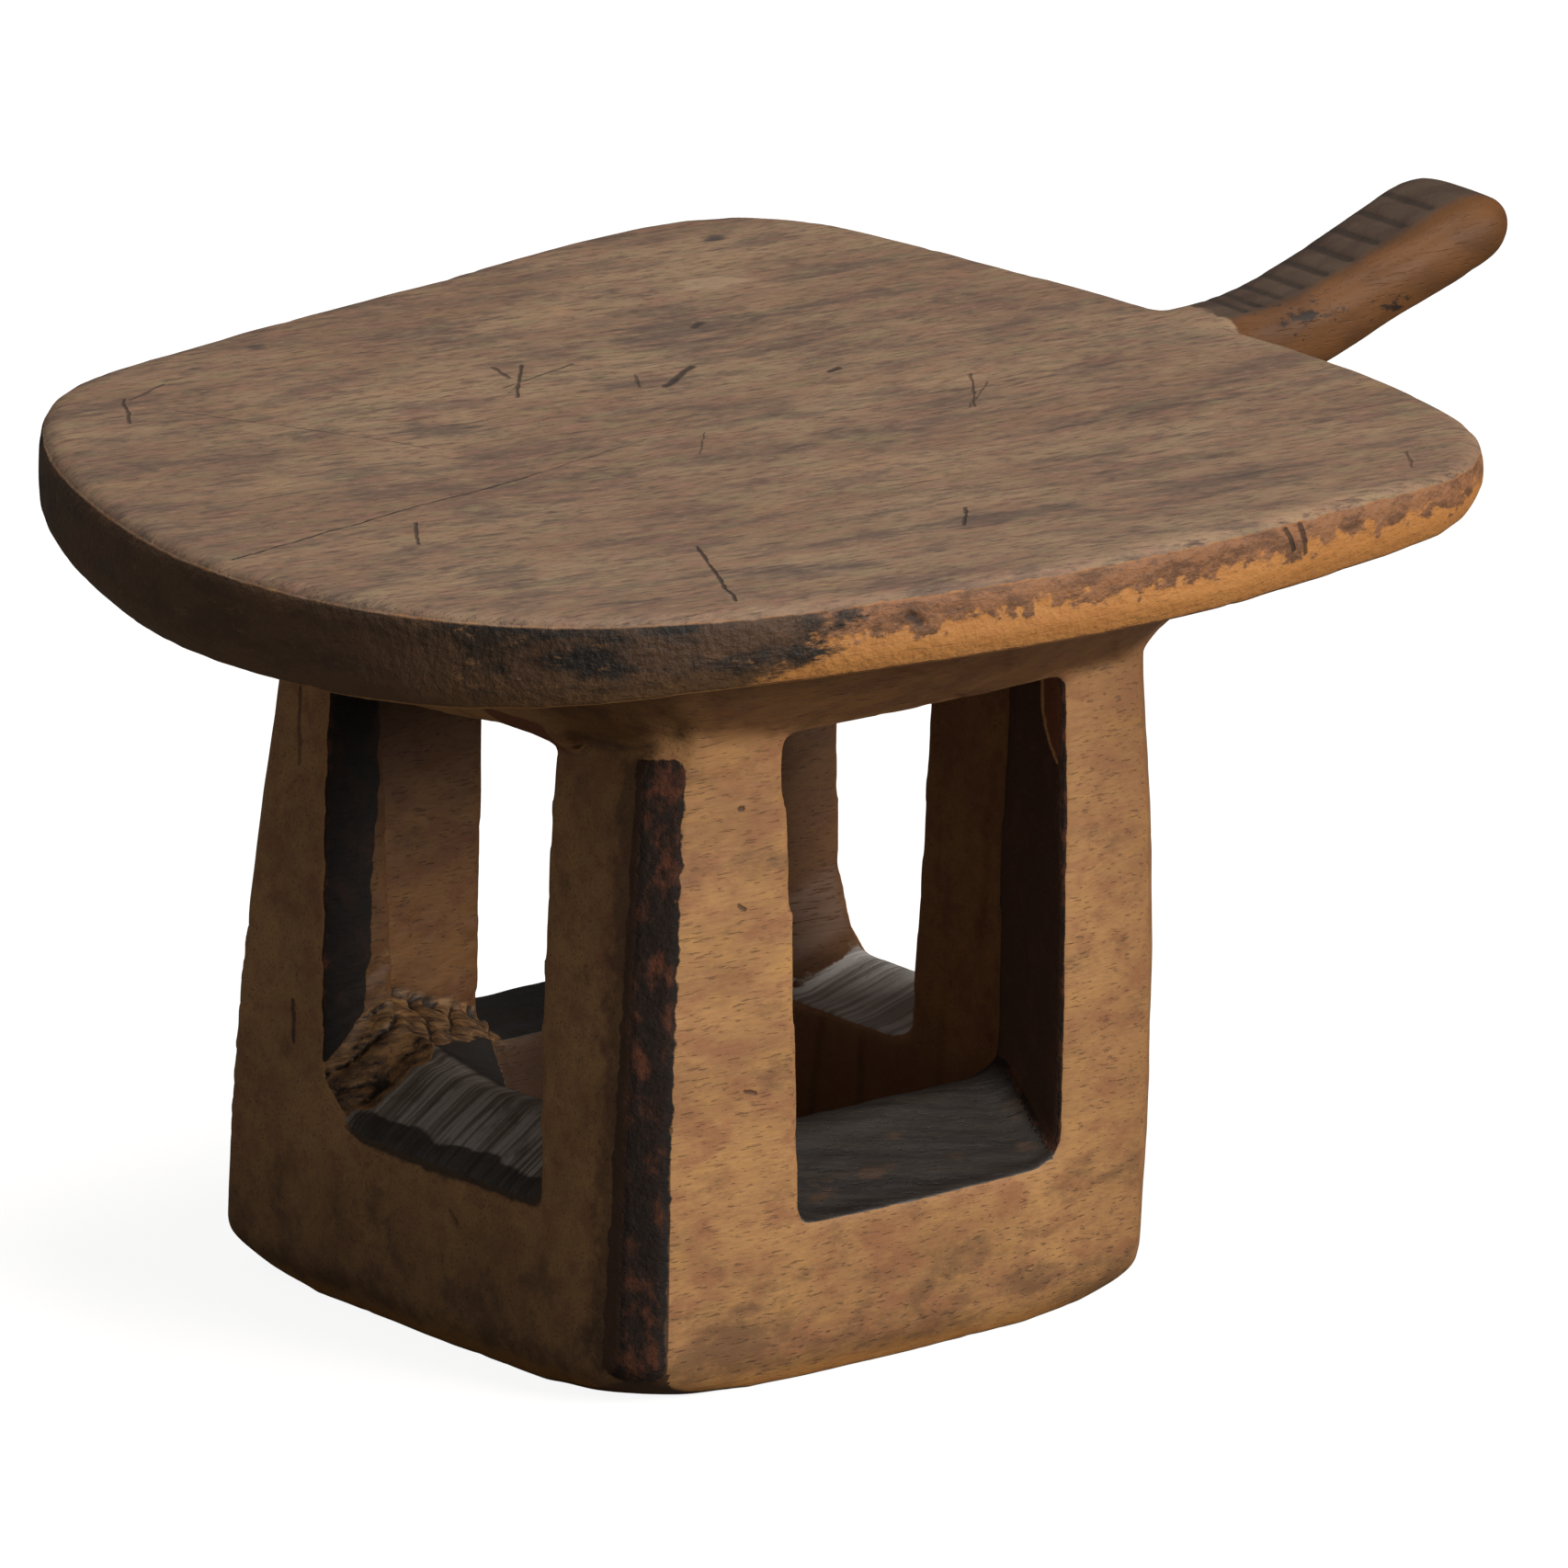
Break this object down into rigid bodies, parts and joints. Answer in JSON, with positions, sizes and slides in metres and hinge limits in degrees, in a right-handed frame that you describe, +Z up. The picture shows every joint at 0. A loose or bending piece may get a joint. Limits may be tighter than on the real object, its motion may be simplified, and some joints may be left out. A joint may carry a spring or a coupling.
{
  "type": "stool",
  "caption": "Low carved wooden stool: broad rounded seat with a notched tail, on a hollow square base with a tall window in each wall.",
  "frame": {"origin": "on the floor, under the middle of the whole stool's box, tail included", "axes": "+X towards the tail, +Y to the sitter's left when facing the tail, +Z up"},
  "size_m": [0.463, 0.3202, 0.2599],
  "materials": {
    "seat_wood": "worn, greyish brown, satin",
    "underside_wood": "tool-marked, dry",
    "tail_wood": "polished by hands, dark in the notches",
    "base_wood": "matt, scorched along the corners",
    "sill_wood": "matt, weathered grey on the sills"
  },
  "bodies": {
    "root": {"seat_slab": "seat_wood", "seat_underside": "underside_wood", "tail_handle": "tail_wood", "post_front_right": "base_wood", "post_front_left": "base_wood", "post_tail_right": "base_wood", "post_tail_left": "base_wood", "rail_right": "sill_wood", "rail_tail": "sill_wood", "rail_left": "sill_wood", "rail_front": "sill_wood"}
  },
  "joints": []
}
